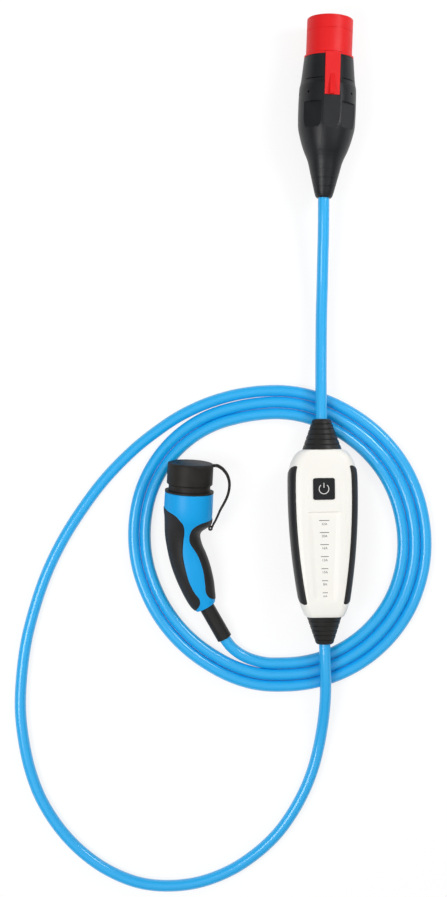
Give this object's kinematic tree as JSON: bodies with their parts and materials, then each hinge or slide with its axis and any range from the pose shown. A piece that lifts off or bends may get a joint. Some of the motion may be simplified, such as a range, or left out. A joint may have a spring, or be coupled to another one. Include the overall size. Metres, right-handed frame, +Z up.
{
  "type": "portable_ev_charger",
  "caption": "Portable car charging cable laid out flat: red industrial plug, slim white control box with black grips, blue lead in a loop and flat coil, angled connector with pull-off cap",
  "frame": {"origin": "middle of the control box's underside, on the floor", "axes": "+X to the right of the box, +Y along the box towards the plug, +Z up"},
  "size_m": [0.5842, 1.2046, 0.0826],
  "materials": {
    "white_plastic": "satin",
    "black_plastic": "matte",
    "black_rubber": "matte",
    "black_glass": "gloss",
    "blue_cable": "satin",
    "blue_plastic": "satin",
    "red_plastic": "satin",
    "green_board": "matte",
    "lamp": "gloss",
    "brass": "satin",
    "steel": "satin"
  },
  "bodies": {
    "unit": {"box_top_cover": "white_plastic", "box_bottom_cover": "white_plastic", "cover_seal": "black_rubber", "side_grip_left": "black_rubber", "side_grip_right": "black_rubber", "touch_field": "black_glass", "board_carrier": "black_plastic", "main_board": "green_board", "power_relays": "black_plastic", "fault_current_sensor": "black_plastic", "supply_module": "black_plastic", "input_terminals": "green_board", "output_terminals": "green_board", "board_screws": "steel", "radio_module": "steel", "display_board": "green_board", "display_spacers": "steel", "status_leds": "lamp", "input_wires": "blue_cable", "output_wires": "blue_cable", "gland_upper": "black_rubber", "gland_lower": "black_rubber", "gland_nut_upper": "black_plastic", "gland_nut_lower": "black_plastic", "plug_housing": "black_plastic", "plug_boot": "black_rubber", "plug_collar": "red_plastic", "plug_seal": "black_rubber", "pin_carrier": "black_plastic", "phase_pins": "brass", "earth_pin": "brass", "pin_terminals": "brass", "plug_cable_clamp": "steel", "plug_wires": "blue_cable", "handle_shell_upper": "blue_plastic", "handle_shell_lower": "blue_plastic", "grip_back": "black_rubber", "grip_front": "black_rubber", "nose": "black_plastic", "nose_ring": "black_plastic", "power_contacts": "brass", "signal_contacts": "brass", "coding_board": "green_board", "handle_wires": "blue_cable", "handle_cable_clamp": "steel", "cap_tether": "black_rubber", "tether_lug": "black_plastic", "kink_sleeve": "black_rubber", "supply_cable": "blue_cable", "lead_cable": "blue_cable", "lead_coil": "blue_cable", "lead_end": "blue_cable"},
    "cap": {"dust_cap": "black_rubber"}
  },
  "joints": [
    {"name": "cap_pull", "type": "slide", "parent": "unit", "child": "cap", "axis": [0.0656, 0.9881, 0.1392], "range_m": [0, 0.027], "deforming": ["cap_tether"]}
  ]
}
